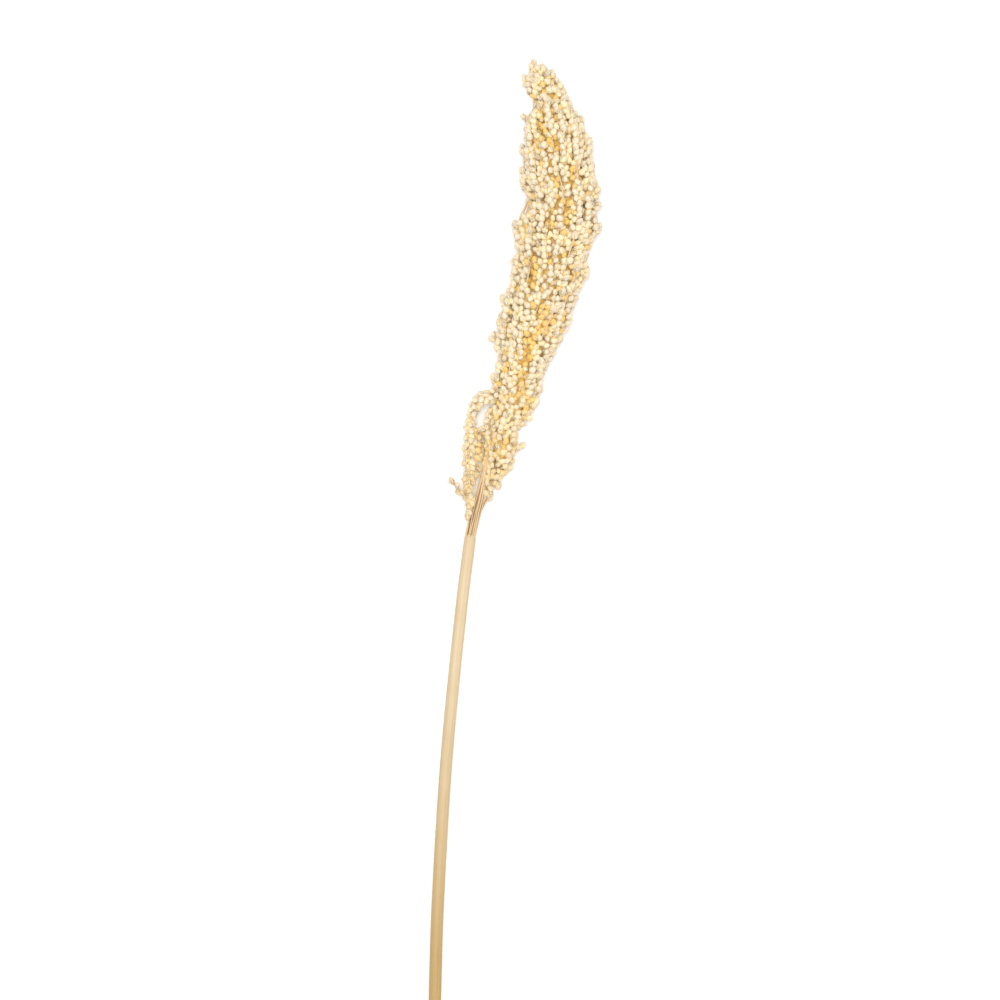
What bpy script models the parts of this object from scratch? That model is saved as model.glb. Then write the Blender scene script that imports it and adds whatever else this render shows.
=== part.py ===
"""A dried sorghum head on its cut stalk, lying as it was set down on a surface after cutting.

Metres, +Z up, and the surface is Z = 0. The stalk runs along +Y and ends in the head, which leans
to +X and curls back at its tip. Two nodes: the straw-coloured stalk with the bare foot of its
branches, and the head of cream grains on their sprays, with a smaller core that they stand out of.
"""

import math
import random

import bmesh
import bpy
from mathutils import Vector

# Lines through the middle of what they name, as points from its lower end to its upper one:
# X, Y, Z, and on the head's own line its half-width across as well.
STALK_LINE = (
    (-0.0531, -0.3100, 0.0038),
    (-0.0515, -0.2540, 0.0054),
    (-0.0488, -0.2010, 0.0070),
    (-0.0452, -0.1480, 0.0086),
    (-0.0403, -0.0950, 0.0101),
    (-0.0348, -0.0440, 0.0115),
    (-0.0296, -0.0033, 0.0125),
)
RACHIS_LINE = (
    (-0.0296, -0.0033, 0.0125),
    (-0.0267, 0.0098, 0.0128),
    (-0.0234, 0.0228, 0.0130),
    (-0.0195, 0.0423, 0.0132),
    (-0.0148, 0.0650, 0.0136),
    (-0.0060, 0.0880, 0.0142),
    (0.0035, 0.1100, 0.0158),
)
HEAD_LINE = (
    (-0.0182, 0.0180, 0.0130, 0.0030),
    (-0.0172, 0.0280, 0.0131, 0.0060),
    (-0.0120, 0.0410, 0.0132, 0.0090),
    (-0.0092, 0.0520, 0.0134, 0.0112),
    (-0.0074, 0.0670, 0.0137, 0.0112),
    (-0.0030, 0.0800, 0.0140, 0.0152),
    (0.0000, 0.0940, 0.0146, 0.0168),
    (0.0058, 0.1140, 0.0163, 0.0198),
    (0.0095, 0.1310, 0.0184, 0.0238),
    (0.0140, 0.1460, 0.0197, 0.0246),
    (0.0205, 0.1640, 0.0207, 0.0242),
    (0.0235, 0.1810, 0.0213, 0.0262),
    (0.0264, 0.1960, 0.0215, 0.0290),
    (0.0300, 0.2110, 0.0211, 0.0248),
    (0.0298, 0.2230, 0.0205, 0.0258),
    (0.0272, 0.2370, 0.0197, 0.0248),
    (0.0268, 0.2530, 0.0177, 0.0222),
    (0.0238, 0.2670, 0.0150, 0.0206),
    (0.0236, 0.2770, 0.0125, 0.0140),
    (0.0178, 0.2880, 0.0098, 0.0126),
    (0.0152, 0.2970, 0.0080, 0.0100),
    (0.0112, 0.3040, 0.0066, 0.0040),
)

# The stalk, and the bare branches that leave its top side by side.
STALK_RADIUS = 0.0040
STALK_TOP_RADIUS = 0.0038
STALK_SIDES = 16
STALK_RINGS = 14
FOOT_BRANCHES = 9
FOOT_BRANCH_RADIUS = 0.0009
FOOT_BRANCH_SIDES = 6
FOOT_BRANCH_RINGS = 7
FOOT_START = STALK_TOP_RADIUS - 1.3 * FOOT_BRANCH_RADIUS  # their ring on the stalk's own end
FOOT_RADIUS = 0.0034  # from the foot's middle to the middle of its branches, where they spread
FOOT_SHARE = 0.64  # the bare branches end at this share of the rachis
ROOT_DEPTH = 0.004  # of the branches and the peg, down into the stalk
PEG_RADIUS = 0.0022  # the rachis above the foot, a peg in the head's socket
PEG_SIDES = 8
PEG_RINGS = 10
GAP = 0.0005  # between the head and what stands in its socket
SOCKET_SIDES = 12
SOCKET_BELOW = 0.010  # the socket's cutter starts this far under the rachis
SOCKET_STEP = 0.66  # share of the rachis where the socket narrows from the branches to the peg
SOCKET_SHOULDER = 0.01  # share of the rachis that the narrowing takes
WIDE_RINGS, NARROW_RINGS = 13, 7  # of the socket, below and above its shoulder

# The head's core and its sprays, which climb it one above the other round its line.
DEPTH_SHARE = 0.86  # the head's depth over its width, from lying on its side
DEEPEST = 0.0220  # half of the depth is never more than this
CORE_SHARE = 0.72  # the core's half-width over the head's
CORE_FROM, CORE_TO = 0.10, 0.95  # shares of the head's line
CORE_SIDES = 12
CORE_RINGS = 16
SPRAYS = 120
SPRAYS_END = 0.99  # share of the head's line
SPRAY_LENGTH = 0.056
SPRAY_RADIUS = 0.0017
SPRAY_SIDES = 6
SPRAY_LOW, SPRAY_BOW = 0.88, 0.12  # how far out a spray starts, and how much further it bows
SPRAY_VARIES = 0.05  # how much further in or out than the rest a spray may be
STEM_SHARE = 0.85  # its stem's distance out, over its grains' own
TIP_SHARES = (0.90, 0.95, 0.985, 1.0)  # of the head's line, along its topmost spray
GOLDEN_ANGLE = math.pi * (3 - math.sqrt(5))

# The grains, drawn larger than life so that they cover the head.
GRAIN_RADIUS = 0.0038
GRAIN_VARIES = 0.1  # share of its radius that a grain may be larger or smaller
GRAIN_TUCK = 0.8  # of a grain's radius, from its middle out to the head's outline
LEAST_SKIN = 0.1  # the least distance out of a grain, as a share of the head's half-width
GRAIN_STEP = 0.0062  # along a spray, from each grain to the next
GRAIN_ASIDE = 0.0033  # of the grains to the left and right of a spray's own line
GRAIN_APART = 0.0052  # the least distance between two grains' middles
ROW_SWAY = 0.0009  # of the grains to left and right where they sit in one row
FILL_DRAWS = 4000  # places tried for grains that fill the bald patches between the sprays
FILL_DEPTH = 0.93  # how far out these sit, as a share of the sprays' own

# Sprays that stand clear of the head, from where they leave it to their tips: X, Y, Z. Their
# grains sit in one row.
OUTER_SPRAYS = (
    (
        (-0.0090, 0.0880, 0.0160),
        (-0.0165, 0.0910, 0.0180),
        (-0.0232, 0.0880, 0.0195),
        (-0.0280, 0.0800, 0.0200),
        (-0.0300, 0.0680, 0.0200),
        (-0.0308, 0.0540, 0.0200),
        (-0.0312, 0.0400, 0.0200),
        (-0.0312, 0.0270, 0.0204),
        (-0.0314, 0.0130, 0.0212),
    ),
    ((-0.0300, 0.0640, 0.0190), (-0.0268, 0.0550, 0.0182), (-0.0262, 0.0420, 0.0182),
     (-0.0266, 0.0300, 0.0186)),
    ((-0.0310, 0.0280, 0.0200), (-0.0355, 0.0272, 0.0195), (-0.0398, 0.0302, 0.0190)),
    ((-0.0120, 0.0740, 0.0150), (-0.0200, 0.0700, 0.0170), (-0.0226, 0.0600, 0.0172),
     (-0.0228, 0.0500, 0.0172)),
    ((-0.0040, 0.0480, 0.0140), (0.0000, 0.0525, 0.0145), (0.0034, 0.0560, 0.0145)),
    ((0.0120, 0.2540, 0.0160), (0.0085, 0.2630, 0.0150), (0.0070, 0.2690, 0.0145)),
)

VOXEL = 0.0010  # the fused head is drawn again at this fineness, then thinned
HEAD_TRIANGLES = 10600
FLOOR_DEPTH = 0.02
READINGS = 120  # along a line, to measure its length
MERGE = 0.00001


class Line:
    """A smooth curve through points, read by the share of its length."""

    def __init__(self, points):
        self.points = points
        places = [Vector(self.on_curve(i / READINGS)[:3]) for i in range(READINGS + 1)]
        self.lengths = [0.0]
        for here, following in zip(places, places[1:]):
            self.lengths.append(self.lengths[-1] + (following - here).length)
        self.length = self.lengths[-1]

    def on_curve(self, t):
        """The values at t, 0 to 1, on the Catmull-Rom curve through the points."""
        spans = len(self.points) - 1
        at = t * spans
        k = min(int(at), spans - 1)
        f = at - k
        before = self.points[max(k - 1, 0)]
        after = self.points[min(k + 2, spans)]
        values = []
        for a, b, c, d in zip(before, self.points[k], self.points[k + 1], after):
            start = (c - a) / 2
            end = (d - b) / 2
            bend = 3 * (c - b) - 2 * start - end
            twist = 2 * (b - c) + start + end
            values.append(b + f * (start + f * (bend + f * twist)))
        return values

    def at(self, share):
        """The values at this share of the length: X, Y, Z and any more that the points hold."""
        want = min(max(share, 0.0), 1.0) * self.length
        k = 1
        while k < READINGS and self.lengths[k] < want:
            k += 1
        f = (want - self.lengths[k - 1]) / (self.lengths[k] - self.lengths[k - 1])
        return self.on_curve((k - 1 + f) / READINGS)

    def place(self, share):
        return Vector(self.at(share)[:3])

    def places(self, first, last, count):
        """Places at count + 1 even shares from first to last."""
        return [self.place(first + (last - first) * i / count) for i in range(count + 1)]

    def sides(self, share):
        """The heading at this share, and unit vectors to its right and its upper side."""
        reach = 0.02
        heading = (self.place(share + reach) - self.place(share - reach)).normalized()
        right = heading.cross(Vector((0, 0, 1))).normalized()
        return heading, right, right.cross(heading)


def in_head(head, share, turn, out):
    """The point of the head at this share of its line, turned round it, out from 0 to 1."""
    half = head.at(share)[3]
    depth = min(DEPTH_SHARE * half, DEEPEST)
    right, up = head.sides(share)[1:]
    return head.place(share) + out * (
        half * math.cos(turn) * right + depth * math.sin(turn) * up
    )


def skin_share(head, share):
    """How far out, 0 to 1, a grain's middle is where the grain just tops the head's outline."""
    return max(1 - GRAIN_TUCK * GRAIN_RADIUS / head.at(share)[3], LEAST_SKIN)


def even_shares(head, count):
    """Shares of the head's line at the middles of count belts that have equal skins."""
    widths = [head.at((i + 0.5) / READINGS)[3] for i in range(READINGS)]
    belt = sum(widths) / count
    shares = []
    run = 0.0
    for i, width in enumerate(widths):
        while len(shares) < count and run + width >= (len(shares) + 0.5) * belt:
            shares.append((i + ((len(shares) + 0.5) * belt - run) / width) / READINGS)
        run += width
    return shares


def collection_named(name):
    made = bpy.data.collections.new(name)
    bpy.context.scene.collection.children.link(made)
    return made


def remove_collection(home):
    for obj in list(home.objects):
        bpy.data.objects.remove(obj)
    bpy.data.collections.remove(home)


def material_named(name, colour, roughness):
    made = bpy.data.materials.new(name)
    made.use_nodes = True
    shader = made.node_tree.nodes["Principled BSDF"]
    shader.inputs["Base Color"].default_value = (*colour, 1.0)
    shader.inputs["Roughness"].default_value = roughness
    shader.inputs["Metallic"].default_value = 0.0
    return made


def apply_modifiers(obj):
    graph = bpy.context.evaluated_depsgraph_get()
    mesh = bpy.data.meshes.new_from_object(obj.evaluated_get(graph))
    obj.modifiers.clear()
    obj.data = mesh


def join(obj, home):
    """Unites obj with every object of the collection home, which is then removed."""
    union = obj.modifiers.new("union", "BOOLEAN")
    union.operation = "UNION"
    union.operand_type = "COLLECTION"
    union.collection = home
    union.solver = "MANIFOLD"
    apply_modifiers(obj)
    remove_collection(home)


def cut(obj, cutter):
    """Takes cutter's shape out of obj."""
    cutter.hide_render = True
    cutter.display_type = "WIRE"
    difference = obj.modifiers.new("difference", "BOOLEAN")
    difference.operation = "DIFFERENCE"
    difference.object = cutter
    apply_modifiers(obj)


def tube(name, places, radii, sides, home):
    """A closed tube along places with a radius at each, as a mesh."""
    curve = bpy.data.curves.new(name, "CURVE")
    curve.dimensions = "3D"
    curve.bevel_depth = 1.0
    curve.bevel_resolution = sides // 2 - 2
    curve.use_fill_caps = True
    spline = curve.splines.new("POLY")
    spline.points.add(len(places) - 1)
    for point, place, radius in zip(spline.points, places, radii):
        point.co = (*place, 1.0)
        point.radius = radius
    drawn = bpy.data.objects.new(name, curve)
    home.objects.link(drawn)
    graph = bpy.context.evaluated_depsgraph_get()
    mesh = bpy.data.meshes.new_from_object(drawn.evaluated_get(graph))
    matrix = drawn.matrix_world.copy()
    bpy.data.objects.remove(drawn)
    shape = bmesh.new()
    shape.from_mesh(mesh)
    bmesh.ops.remove_doubles(shape, verts=shape.verts, dist=MERGE)
    bmesh.ops.recalc_face_normals(shape, faces=shape.faces)
    shape.to_mesh(mesh)
    shape.free()
    obj = bpy.data.objects.new(name, mesh)
    obj.matrix_world = matrix
    home.objects.link(obj)
    return obj


def socket_course(rachis):
    """Places up the socket's middle with its radius at each, wide round the branches' foot."""
    wide = FOOT_RADIUS + FOOT_BRANCH_RADIUS + GAP
    narrow = PEG_RADIUS + GAP
    foot_way = rachis.sides(0.0)[0]
    peg_way = rachis.sides(1.0)[0]
    course = [(rachis.place(0.0) - SOCKET_BELOW * foot_way, wide)]
    course += [(place, wide) for place in rachis.places(0.0, SOCKET_STEP, WIDE_RINGS)]
    narrowed = SOCKET_STEP + SOCKET_SHOULDER
    course += [(place, narrow) for place in rachis.places(narrowed, 1.0, NARROW_RINGS)]
    course.append((rachis.place(1.0) + 2 * GAP * peg_way, narrow))
    return course


def build_stalk(stalk, rachis, parts):
    """The stalk with the peg that carries the head on it, and the bare branches of the foot."""
    places = stalk.places(0.0, 1.0, STALK_RINGS)
    slimmer = STALK_TOP_RADIUS - STALK_RADIUS
    radii = [STALK_RADIUS + slimmer * i / STALK_RINGS for i in range(STALK_RINGS + 1)]
    body = tube("stalk", places, radii, STALK_SIDES, parts)

    branches = collection_named("foot_branches")
    root = -ROOT_DEPTH * rachis.sides(0.0)[0]
    peg = [rachis.place(0.0) + root] + rachis.places(0.0, 1.0, PEG_RINGS)
    tube("peg", peg, [PEG_RADIUS] * len(peg), PEG_SIDES, branches)
    for i in range(FOOT_BRANCHES):
        turn = 2 * math.pi * (i + 0.5) / FOOT_BRANCHES
        branch = []
        for k in range(FOOT_BRANCH_RINGS + 1):
            t = k / FOOT_BRANCH_RINGS
            right, up = rachis.sides(FOOT_SHARE * t)[1:]
            spread = FOOT_START + (FOOT_RADIUS - FOOT_START) * math.sin(math.pi * t)
            beside = math.cos(turn) * right + math.sin(turn) * up
            branch.append(rachis.place(FOOT_SHARE * t) + spread * beside)
        branch.insert(0, branch[0] + root)
        tube("branch", branch, [FOOT_BRANCH_RADIUS] * len(branch), FOOT_BRANCH_SIDES, branches)
    join(body, branches)
    return body


class Grains:
    """The head's grains as they are set, each clear of those before it and of the socket."""

    def __init__(self, rachis, home):
        self.home = home
        self.draw = random.Random(7)
        self.set_places = []
        self.socket = socket_course(rachis)
        self.mesh = bpy.data.meshes.new("grain")
        shape = bmesh.new()
        bmesh.ops.create_icosphere(shape, subdivisions=2, radius=1.0)
        shape.to_mesh(self.mesh)
        shape.free()

    def set_grain(self, place):
        if any((place - other).length < GRAIN_APART for other in self.set_places):
            return
        if any((place - middle).length < radius + GRAIN_RADIUS / 2 for middle, radius in self.socket):
            return
        self.set_places.append(place)
        grain = bpy.data.objects.new("grain", self.mesh)
        grain.location = place
        size = GRAIN_RADIUS * self.draw.uniform(1 - GRAIN_VARIES, 1 + GRAIN_VARIES)
        grain.scale = (size, size, size)
        grain.rotation_euler = [self.draw.uniform(0, math.pi) for _ in range(3)]
        self.home.objects.link(grain)

    def add_outer_spray(self, points):
        """A stem through points, with a row of grains along it."""
        spray = Line(points)
        count = round(spray.length / GRAIN_APART)
        stem = spray.places(0.0, 1.0, 2 * count)
        tube("spray_stem", stem, [SPRAY_RADIUS] * len(stem), SPRAY_SIDES, self.home)
        for i in range(1, count + 1):
            sway = ROW_SWAY * (-1) ** i
            self.set_grain(spray.place(i / count) + sway * spray.sides(i / count)[1])

    def add_climbing_spray(self, head, middle, turn):
        """A stem up the head's side with grains to its left and right by turns."""
        reach = SPRAY_LENGTH / head.length
        first = max(middle - reach / 2, 0.0)
        last = min(middle + reach / 2, SPRAYS_END)
        count = round((last - first) * head.length / GRAIN_STEP)
        full = self.draw.uniform(1 - SPRAY_VARIES, 1 + SPRAY_VARIES)
        stem = []
        for k in range(count + 1):
            t = k / count
            share = first + (last - first) * t
            bow = SPRAY_LOW + SPRAY_BOW * math.sin(0.75 * math.pi * t)
            out = full * skin_share(head, share) * bow
            stem.append(in_head(head, share, turn, STEM_SHARE * out))
            place = in_head(head, share, turn, out)
            aside = head.sides(share)[0].cross(place - head.place(share)).normalized()
            shift = 0.0 if k == count else GRAIN_ASIDE * (-1) ** k
            self.set_grain(place + shift * aside)
        tube("spray_stem", stem, [SPRAY_RADIUS] * len(stem), SPRAY_SIDES, self.home)

    def fill_between(self, head):
        """Grains wherever the skin is still bald, a little further in than the sprays."""
        for _ in range(FILL_DRAWS):
            share = self.draw.uniform(CORE_FROM, CORE_TO)
            turn = self.draw.uniform(0, 2 * math.pi)
            out = FILL_DEPTH * skin_share(head, share)
            self.set_grain(in_head(head, share, turn, out))


def build_head(head, rachis, parts, cutters):
    """The core with its grains and their stems, drawn as one closed body, and its socket."""
    places = head.places(CORE_FROM, CORE_TO, CORE_RINGS)
    shares = [CORE_FROM + (CORE_TO - CORE_FROM) * i / CORE_RINGS for i in range(CORE_RINGS + 1)]
    radii = [CORE_SHARE * DEPTH_SHARE * head.at(share)[3] for share in shares]
    body = tube("seed_head", places, radii, CORE_SIDES, parts)

    grains = Grains(rachis, collection_named("grains_and_stems"))
    for points in OUTER_SPRAYS:
        grains.add_outer_spray(points)
    grains.add_outer_spray([tuple(head.place(share)) for share in TIP_SHARES])
    for i, middle in enumerate(even_shares(head, SPRAYS)):
        grains.add_climbing_spray(head, middle, i * GOLDEN_ANGLE)
    grains.fill_between(head)
    join(body, grains.home)

    even = body.modifiers.new("even", "REMESH")
    even.mode = "VOXEL"
    even.voxel_size = VOXEL
    apply_modifiers(body)
    thinner = body.modifiers.new("thinner", "DECIMATE")
    thinner.ratio = HEAD_TRIANGLES / (2 * len(body.data.polygons))
    apply_modifiers(body)

    places, radii = zip(*socket_course(rachis))
    cut(body, tube("socket", places, radii, SOCKET_SIDES, cutters))
    return body


def floor_block(cutters):
    """The cutter for what reaches below the surface, so that a body rests on small flats."""
    bpy.ops.mesh.primitive_cube_add(size=1.0, location=(0, 0, -FLOOR_DEPTH / 2))
    block = bpy.context.object
    block.name = "floor_block"
    block.scale = (1.0, 1.0, FLOOR_DEPTH)
    for other in list(block.users_collection):
        other.objects.unlink(block)
    cutters.objects.link(block)
    bpy.context.view_layer.update()
    return block


def keep_largest_piece(obj):
    """Drops the loose scraps that fusing and cutting leave, and the skins of sealed hollows."""
    shape = bmesh.new()
    shape.from_mesh(obj.data)
    unseen = set(shape.verts)
    pieces = []
    while unseen:
        piece = {unseen.pop()}
        front = list(piece)
        while front:
            vertex = front.pop()
            for edge in vertex.link_edges:
                other = edge.other_vert(vertex)
                if other in unseen:
                    unseen.discard(other)
                    piece.add(other)
                    front.append(other)
        pieces.append(piece)
    pieces.sort(key=len)
    for piece in pieces[:-1]:
        bmesh.ops.delete(shape, geom=list(piece), context="VERTS")
    bmesh.ops.triangulate(shape, faces=shape.faces)
    shape.to_mesh(obj.data)
    shape.free()


def main():
    for obj in list(bpy.data.objects):
        bpy.data.objects.remove(obj)
    parts = collection_named("sorghum_seed_head")
    cutters = collection_named("cutters")
    floor = floor_block(cutters)
    stalk = Line(STALK_LINE)
    rachis = Line(RACHIS_LINE)
    head = Line(HEAD_LINE)
    straw = material_named("straw", (0.83, 0.68, 0.42), 0.55)
    cream = material_named("cream_grain", (0.90, 0.79, 0.55), 0.5)
    for body, material in (
        (build_stalk(stalk, rachis, parts), straw),
        (build_head(head, rachis, parts, cutters), cream),
    ):
        cut(body, floor)
        keep_largest_piece(body)
        body.data.materials.clear()
        body.data.materials.append(material)


main()
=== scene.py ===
"""The looks of a dried sorghum head, which lies on its side on a pale floor and is seen from above.

Everything is in metres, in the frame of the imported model: the floor is Z = 0, the stalk runs
along +Y, and the head leans to +X.
"""

import math
import random

import bmesh
import bpy
import numpy as np
from bpy.props import FloatProperty, FloatVectorProperty, IntProperty, PointerProperty
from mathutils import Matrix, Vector
from mathutils.kdtree import KDTree


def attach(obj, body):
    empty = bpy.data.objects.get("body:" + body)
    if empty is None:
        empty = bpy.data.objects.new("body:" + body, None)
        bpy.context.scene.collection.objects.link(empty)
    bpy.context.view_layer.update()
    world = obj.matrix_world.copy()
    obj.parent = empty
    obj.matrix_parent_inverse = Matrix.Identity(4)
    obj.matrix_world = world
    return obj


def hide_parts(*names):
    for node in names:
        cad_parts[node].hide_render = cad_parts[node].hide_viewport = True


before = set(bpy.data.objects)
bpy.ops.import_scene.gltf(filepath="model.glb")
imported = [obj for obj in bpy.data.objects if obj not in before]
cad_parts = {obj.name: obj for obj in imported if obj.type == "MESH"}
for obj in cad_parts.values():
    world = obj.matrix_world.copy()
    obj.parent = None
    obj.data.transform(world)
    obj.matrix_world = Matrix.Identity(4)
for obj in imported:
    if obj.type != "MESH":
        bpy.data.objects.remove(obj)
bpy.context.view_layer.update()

bl_info = {
    "name": "Dried Sorghum Head",
    "version": (1, 0, 0),
    "blender": (4, 5, 0),
    "location": "3D View > Sidebar > Sorghum",
    "description": "Dresses a dried sorghum head with its grains, branches, cane and studio",
    "category": "Object",
}

# Lines through the middle of what they name, from its lower end to its upper one: X, Y, Z, and on
# the head's own line its half-width across as well.
STALK_LINE = (
    (-0.0531, -0.31, 0.0038), (-0.0515, -0.254, 0.0054), (-0.0488, -0.201, 0.007),
    (-0.0452, -0.148, 0.0086), (-0.0403, -0.095, 0.0101), (-0.0348, -0.044, 0.0115),
    (-0.0296, -0.0033, 0.0125),
)
RACHIS_LINE = (
    (-0.0296, -0.0033, 0.0125), (-0.0267, 0.0098, 0.0128), (-0.0234, 0.0228, 0.013),
    (-0.0195, 0.0423, 0.0132), (-0.0148, 0.065, 0.0136), (-0.006, 0.088, 0.0142),
    (0.0035, 0.11, 0.0158),
)
HEAD_LINE = (
    (-0.0182, 0.018, 0.013, 0.003), (-0.0172, 0.028, 0.0131, 0.006), (-0.012, 0.041, 0.0132, 0.009),
    (-0.0092, 0.052, 0.0134, 0.0112), (-0.0074, 0.067, 0.0137, 0.0112),
    (-0.003, 0.08, 0.014, 0.0152), (0.0, 0.094, 0.0146, 0.0168), (0.0058, 0.114, 0.0163, 0.0198),
    (0.0095, 0.131, 0.0184, 0.0238), (0.014, 0.146, 0.0197, 0.0246),
    (0.0205, 0.164, 0.0207, 0.0242), (0.0235, 0.181, 0.0213, 0.0262),
    (0.0264, 0.196, 0.0215, 0.029), (0.03, 0.211, 0.0211, 0.0248), (0.0298, 0.223, 0.0205, 0.0258),
    (0.0268, 0.237, 0.0197, 0.0252), (0.0263, 0.253, 0.0177, 0.0228),
    (0.0238, 0.267, 0.015, 0.0206), (0.0236, 0.277, 0.0125, 0.014), (0.0178, 0.288, 0.0098, 0.0126),
    (0.0152, 0.297, 0.008, 0.01), (0.0112, 0.304, 0.0066, 0.004),
)
# Sprays that stand clear of the head, from where they leave it to their tips.
OUTER_SPRAYS = (
    ((-0.009, 0.085, 0.016), (-0.016, 0.087, 0.018), (-0.0224, 0.0853, 0.0195),
     (-0.0273, 0.0784, 0.02), (-0.0299, 0.0684, 0.02), (-0.03, 0.054, 0.02),
     (-0.0306, 0.04, 0.02), (-0.0302, 0.027, 0.0204), (-0.0314, 0.01, 0.0212)),
    ((-0.0314, 0.0205, 0.02), (-0.0362, 0.0245, 0.0195), (-0.0412, 0.0312, 0.019)),
    ((-0.012, 0.073, 0.015), (-0.0196, 0.069, 0.017), (-0.0236, 0.061, 0.0172)),
    ((-0.013, 0.071, 0.015), (-0.0178, 0.064, 0.0165), (-0.0196, 0.0565, 0.0165)),
    ((-0.0052, 0.047, 0.014), (-0.0006, 0.0512, 0.0145), (0.0034, 0.0546, 0.0145)),
    ((0.012, 0.254, 0.016), (0.0085, 0.263, 0.015), (0.0046, 0.2712, 0.0145)),
)
# Sprays that hang in the shade between the long one and the main stem.
SHADED_SPRAYS = (
    ((-0.028, 0.064, 0.018), (-0.0262, 0.055, 0.0172), (-0.0258, 0.042, 0.0172),
     (-0.0266, 0.03, 0.0176)),
    ((-0.022, 0.065, 0.015), (-0.0226, 0.056, 0.015), (-0.023, 0.047, 0.015)),
    ((-0.0176, 0.062, 0.013), (-0.0198, 0.053, 0.013), (-0.0206, 0.044, 0.013)),
)
# Bare branches that part from the main stem low down and go to the lowest sprays on the right.
PARTED_BRANCHES = (
    ((-0.0248, 0.009, 0.012), (-0.0218, 0.016, 0.0128), (-0.0186, 0.0215, 0.0135),
     (-0.016, 0.029, 0.015)),
    ((-0.0246, 0.008, 0.0105), (-0.0212, 0.0155, 0.0115), (-0.018, 0.0225, 0.0125),
     (-0.015, 0.033, 0.014)),
    ((-0.0244, 0.012, 0.0135), (-0.022, 0.019, 0.0142), (-0.0198, 0.025, 0.0145),
     (-0.0172, 0.032, 0.015)),
)
# Short sprays that make the lumps of the head's outline, as X and Y; they lie at its middle height.
LOBES = (
    ((0.0125, 0.296), (0.0116, 0.305)), ((0.011, 0.2985), (0.009, 0.3032)),
    ((0.015, 0.295), (0.0166, 0.3022)), ((0.02, 0.293), (0.0226, 0.298)),
    ((0.0125, 0.287), (0.0085, 0.2905), (0.0062, 0.2945)), ((0.011, 0.29), (0.0086, 0.2962)),
    ((0.0085, 0.284), (0.0088, 0.285)), ((0.0105, 0.259), (0.0062, 0.2668)),
    ((0.0095, 0.242), (0.0048, 0.2484)), ((0.008, 0.227), (0.0052, 0.2325)),
    ((0.008, 0.221), (0.005, 0.2255)), ((0.0045, 0.185), (0.0, 0.1925), (-0.0008, 0.1975)),
    ((0.004, 0.184), (-0.0002, 0.188)), ((0.003, 0.18), (-0.0008, 0.175)),
    ((0.003, 0.174), (-0.0006, 0.168)), ((-0.004, 0.14), (-0.0082, 0.1495)),
    ((-0.0085, 0.116), (-0.0135, 0.1235), (-0.0138, 0.1295)),
    ((-0.011, 0.088), (-0.0144, 0.099)), ((-0.016, 0.03), (-0.0172, 0.022)),
    ((-0.012, 0.034), (-0.0118, 0.03)), ((0.007, 0.074), (0.0124, 0.083)),
    ((0.013, 0.087), (0.0152, 0.0905)), ((0.0255, 0.118), (0.028, 0.1235)),
    ((0.031, 0.136), (0.0362, 0.145)), ((0.0405, 0.159), (0.0446, 0.164)),
    ((0.04, 0.162), (0.047, 0.1712)), ((0.048, 0.187), (0.0535, 0.1965)),
    ((0.047, 0.211), (0.0524, 0.22)), ((0.048, 0.206), (0.053, 0.2105)),
    ((0.042, 0.245), (0.0472, 0.2525)), ((-0.014, 0.081), (-0.0178, 0.076)),
    ((-0.014, 0.077), (-0.0174, 0.0715)),
)
# Places at the outline where no grain grows: X, Y and radius.
CLEARINGS = (
    (0.0068, 0.2785, 0.0072), (0.0, 0.209, 0.008), (-0.014, 0.158, 0.009),
    (0.054, 0.177, 0.009), (0.0555, 0.185, 0.008), (0.056, 0.2325, 0.0072),
    (0.052, 0.2625, 0.0095), (0.0425, 0.2765, 0.0075), (-0.001, 0.2405, 0.0078),
    (-0.0115, 0.162, 0.0095), (-0.0175, 0.1335, 0.006), (0.0305, 0.115, 0.0065),
    (0.0235, 0.099, 0.0078),
)
# Furrows between the sprays: X and Y of both ends on the head's upper skin, and how far from it
# the grains stand back.
FURROWS = (
    (0.0162, 0.2848, 0.0188, 0.2882, 0.003), (0.0146, 0.2616, 0.0208, 0.2518, 0.0038),
    (0.0241, 0.2523, 0.0241, 0.2464, 0.0041), (0.0131, 0.2509, 0.0144, 0.2448, 0.0036),
    (0.0145, 0.2394, 0.0159, 0.2328, 0.0036), (0.027, 0.2397, 0.0273, 0.2344, 0.0036),
    (0.0277, 0.2266, 0.0332, 0.2125, 0.0044), (0.0391, 0.2341, 0.041, 0.2296, 0.0036),
    (0.0321, 0.2041, 0.0319, 0.1939, 0.0036), (0.0031, 0.1927, 0.0044, 0.1868, 0.0036),
    (0.0313, 0.1773, 0.0365, 0.1825, 0.0044), (0.0197, 0.1715, 0.0217, 0.1746, 0.0036),
    (0.0057, 0.1745, 0.0086, 0.1615, 0.0046), (0.0333, 0.1679, 0.0346, 0.1698, 0.0036),
    (0.0386, 0.1625, 0.0412, 0.1653, 0.0036), (0.0127, 0.1428, 0.0159, 0.1466, 0.0038),
    (-0.0027, 0.1418, -0.0014, 0.1392, 0.0038), (0.0173, 0.1288, 0.0237, 0.1372, 0.0041),
    (0.0089, 0.1218, 0.0077, 0.1053, 0.0038), (-0.0072, 0.1093, -0.0065, 0.1048, 0.0036),
    (0.0038, 0.097, 0.0057, 0.0989, 0.0036), (0.0025, 0.088, 0.0058, 0.0906, 0.0036),
    (-0.0143, 0.0889, -0.0136, 0.0843, 0.0036), (0.0097, 0.0837, 0.0136, 0.0864, 0.0036),
    (-0.0123, 0.0791, -0.0104, 0.0765, 0.0036), (0.0026, 0.0759, 0.0045, 0.0778, 0.0036),
    (0.021, 0.1971, 0.021, 0.1951, 0.0036), (-0.0094, 0.0564, -0.0094, 0.0539, 0.0033),
)
FURROW_SHADE = 0.90  # how much the sprays beside a furrow shade what is in it
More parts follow.
